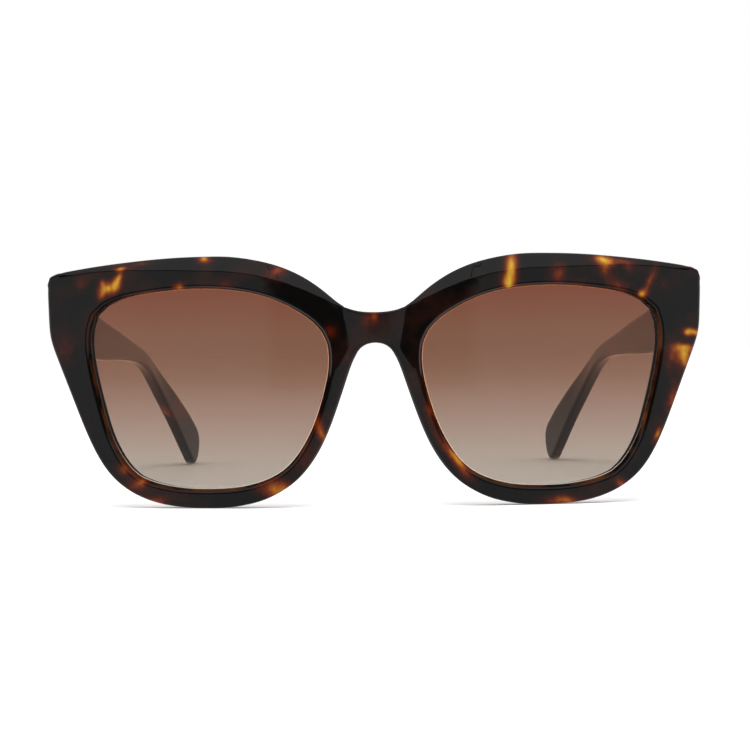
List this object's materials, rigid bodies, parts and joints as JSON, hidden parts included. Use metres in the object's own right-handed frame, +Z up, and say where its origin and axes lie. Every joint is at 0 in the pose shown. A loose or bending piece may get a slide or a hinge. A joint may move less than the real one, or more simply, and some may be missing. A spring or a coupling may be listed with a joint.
{
  "type": "cat eye sunglasses",
  "caption": "Cat eye sunglasses with a thick tortoiseshell acetate front, gradient lenses and folding temples on barrel hinges.",
  "frame": {"origin": "centre of the flat back face of the bridge, between the lenses", "axes": "+Z up, +Y from the front back along the temples, so the front faces -Y, +X towards the wearer's left"},
  "size_m": [0.1434, 0.1507, 0.0548],
  "materials": {
    "acetate": "polished dark tortoiseshell acetate with amber flecks",
    "lens_tint": "brown gradient tint, darker at the top",
    "nickel_silver": "nickel silver, tumbled",
    "screw_steel": "turned stainless steel"
  },
  "bodies": {
    "front": {"front_frame": "acetate", "lens_left": "lens_tint", "lens_right": "lens_tint", "nose_pad_left": "acetate", "nose_pad_right": "acetate", "hinge_front_leaf_left": "nickel_silver", "hinge_front_leaf_right": "nickel_silver", "hinge_screw_left": "screw_steel", "hinge_screw_right": "screw_steel"},
    "temple_arm_left": {"temple_left": "acetate", "temple_core_left": "nickel_silver", "hinge_temple_leaf_left": "nickel_silver"},
    "temple_arm_right": {"temple_right": "acetate", "temple_core_right": "nickel_silver", "hinge_temple_leaf_right": "nickel_silver"}
  },
  "joints": [
    {"name": "temple_left_fold", "type": "hinge", "parent": "front", "child": "temple_arm_left", "pos_m": [0.0652, 0.01165, 0.0044], "axis": [0, 0, 1], "range_deg": [0, 84]},
    {"name": "temple_right_fold", "type": "hinge", "parent": "front", "child": "temple_arm_right", "pos_m": [-0.0652, 0.01165, 0.0044], "axis": [0, 0, -1], "range_deg": [0, 78]}
  ]
}
